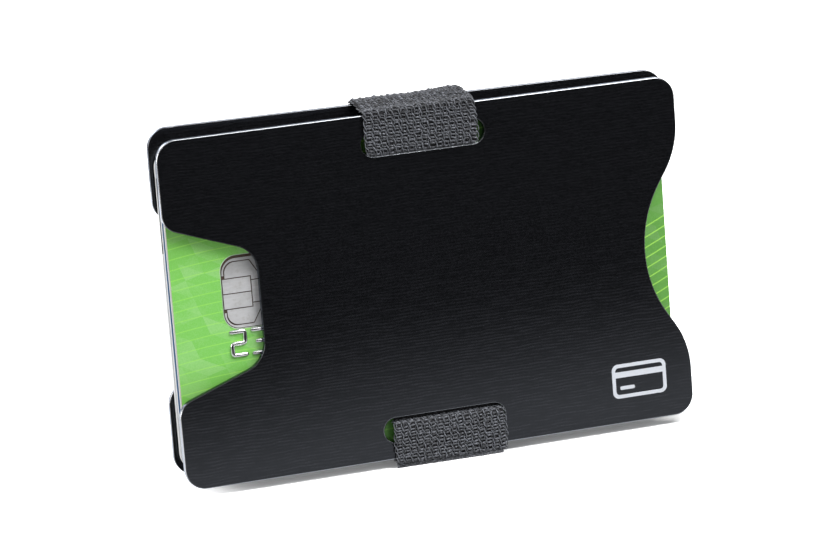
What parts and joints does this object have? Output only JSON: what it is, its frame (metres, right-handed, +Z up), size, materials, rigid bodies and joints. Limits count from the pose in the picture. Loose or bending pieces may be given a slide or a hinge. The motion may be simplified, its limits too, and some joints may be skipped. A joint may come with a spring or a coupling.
{
  "type": "rfid card holder",
  "caption": "Slim card holder: metal plates with a thumb notch and a finger curve, held round a stack of cards by an elastic loop threaded through their slots.",
  "frame": {"origin": "middle of the underside of the elastic loop's sewn lap, on the surface that the holder stands on", "axes": "+X along the long edge from the thumb notch to the finger curve, +Y from the front plate to the back plate, +Z up"},
  "size_m": [0.0894, 0.008, 0.0614],
  "materials": {
    "plate": "black anodised, brushed along the long edge",
    "elastic": "charcoal ribbed knit elastic",
    "green_card": "green printed laminate with fine curved lines",
    "white_card": "white laminate",
    "blue_card": "blue printed laminate",
    "chip_board": "brown epoxy board",
    "chip_metal": "satin silver plating"
  },
  "bodies": {
    "front": {"front_plate": "plate", "elastic_band_front": "elastic", "elastic_band_top": "elastic", "elastic_band_bottom": "elastic", "elastic_band_lap": "elastic"},
    "back": {"back_plate": "plate", "elastic_band_back": "elastic"},
    "front_card": {"front_card": "green_card", "chip_carrier": "chip_board", "chip_rim": "chip_metal", "chip_contact_1": "chip_metal", "chip_contact_2": "chip_metal", "chip_contact_3": "chip_metal", "chip_contact_4": "chip_metal", "chip_contact_5": "chip_metal", "chip_contact_6": "chip_metal", "chip_contact_7": "chip_metal", "chip_contact_8": "chip_metal", "chip_ground_contact": "chip_metal"},
    "second_card": {"second_card": "white_card"},
    "blue_card": {"blue_card": "blue_card"},
    "rear_card": {"rear_card": "white_card"}
  },
  "joints": [
    {"name": "plates_spread", "type": "slide", "parent": "front", "child": "back", "axis": [0, 1, 0], "range_m": [0, 0.006], "stiffness_N_per_m": 600, "springref_m": -0.003, "deforming": ["elastic_band_top", "elastic_band_bottom"]},
    {"name": "front_card_slide", "type": "slide", "parent": "front", "child": "front_card", "axis": [1, 0, 0], "range_m": [0, 0.08]},
    {"name": "second_card_slide", "type": "slide", "parent": "front", "child": "second_card", "axis": [1, 0, 0], "range_m": [0, 0.08]},
    {"name": "blue_card_slide", "type": "slide", "parent": "front", "child": "blue_card", "axis": [1, 0, 0], "range_m": [0, 0.08]},
    {"name": "rear_card_slide", "type": "slide", "parent": "front", "child": "rear_card", "axis": [1, 0, 0], "range_m": [0, 0.08]}
  ]
}
